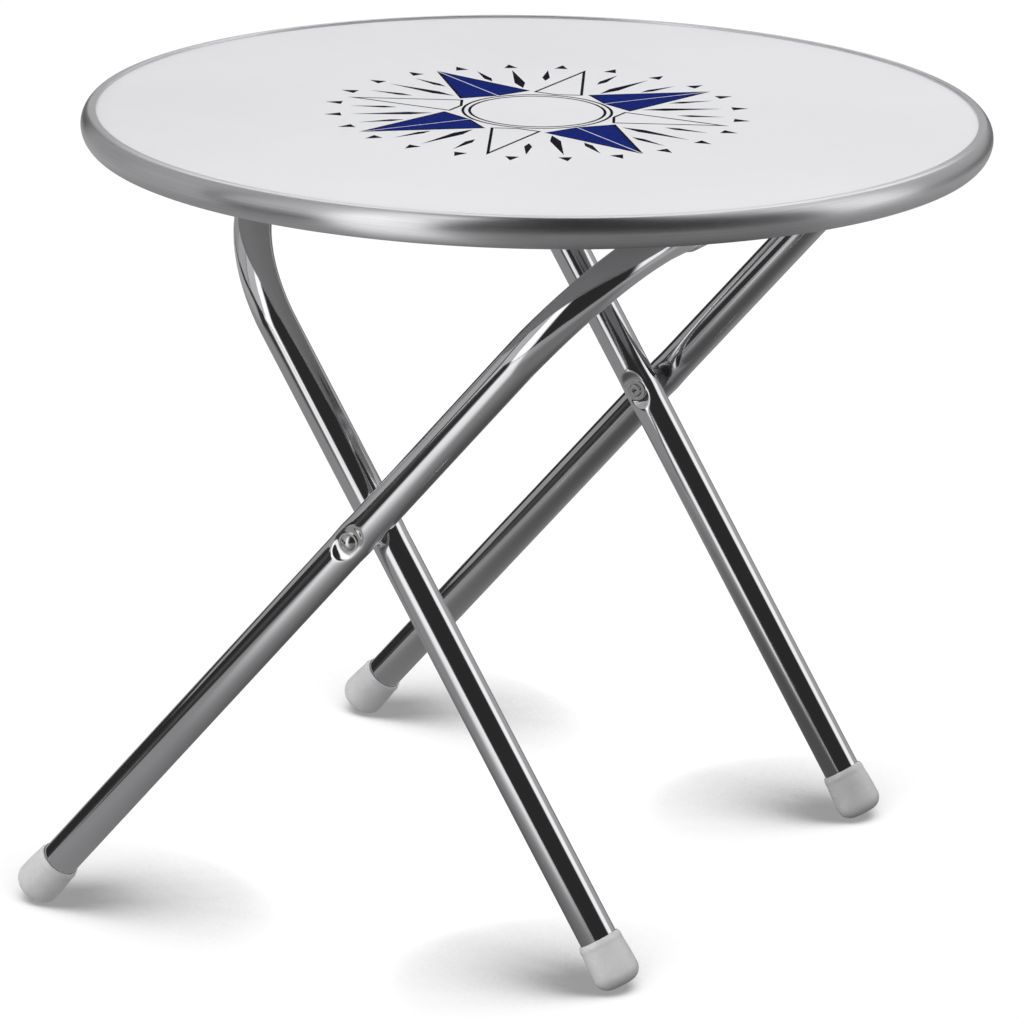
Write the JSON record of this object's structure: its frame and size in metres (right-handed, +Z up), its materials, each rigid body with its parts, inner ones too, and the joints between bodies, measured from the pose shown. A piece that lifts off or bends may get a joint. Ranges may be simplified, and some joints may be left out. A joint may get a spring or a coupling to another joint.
{
  "type": "round folding table",
  "caption": "Low round folding table: white laminated top with a compass rose in an aluminium rim, on two crossed bent-tube leg frames with white foot caps.",
  "frame": {"origin": "on the floor, under the middle of the top", "axes": "+Z up, X along the spread of the crossed legs with the inner frame's feet towards +X, Y along the crossbars"},
  "size_m": [0.5999, 0.6, 0.524],
  "materials": {
    "core_wood": "raw particle board edge",
    "laminate_white": "satin white laminate",
    "laminate_backing": "plain light grey balancing laminate",
    "print_navy": "navy print under the satin laminate",
    "print_black": "black print under the satin laminate",
    "rim_aluminium": "polished anodised aluminium with fine drawing lines",
    "nylon_grey": "dark grey moulded nylon",
    "zinc_steel": "bright zinc plate",
    "leg_chrome": "bright chrome plate on bent tube",
    "rivet_steel": "nickel-plated steel",
    "foot_plastic": "white moulded plastic, slightly glossy"
  },
  "bodies": {
    "top": {"core_panel": "core_wood", "top_laminate": "laminate_white", "backing_laminate": "laminate_backing", "compass_blue": "print_navy", "compass_black": "print_black", "edge_rim": "rim_aluminium", "hinge_block_near": "nylon_grey", "hinge_block_far": "nylon_grey", "hinge_strap_near": "zinc_steel", "hinge_strap_far": "zinc_steel", "hinge_screws": "zinc_steel", "latch_clip_near": "nylon_grey", "latch_clip_far": "nylon_grey", "clip_screws": "zinc_steel"},
    "outer_frame": {"outer_tube": "leg_chrome", "outer_foot_near": "foot_plastic", "outer_foot_far": "foot_plastic", "pivot_rivet_near": "rivet_steel", "pivot_rivet_far": "rivet_steel", "pivot_spacer_near": "nylon_grey", "pivot_spacer_far": "nylon_grey", "head_washer_near": "rivet_steel", "head_washer_far": "rivet_steel", "tail_washer_near": "rivet_steel", "tail_washer_far": "rivet_steel"},
    "inner_frame": {"inner_tube": "leg_chrome", "inner_foot_near": "foot_plastic", "inner_foot_far": "foot_plastic"}
  },
  "joints": [
    {"name": "top_fold", "type": "hinge", "parent": "top", "child": "outer_frame", "pos_m": [0.1607, 0, 0.4858], "axis": [0, 1, 0], "range_deg": [0, 46.3]},
    {"name": "leg_scissor", "type": "hinge", "parent": "outer_frame", "child": "inner_frame", "pos_m": [-0.01, 0, 0.287], "axis": [0, 1, 0], "range_deg": [-100.95, 0], "deforming": ["latch_clip_near", "latch_clip_far"]}
  ],
  "couplings": [
    {"joint": "leg_scissor", "follows": "top_fold", "ratio": -2.18}
  ]
}
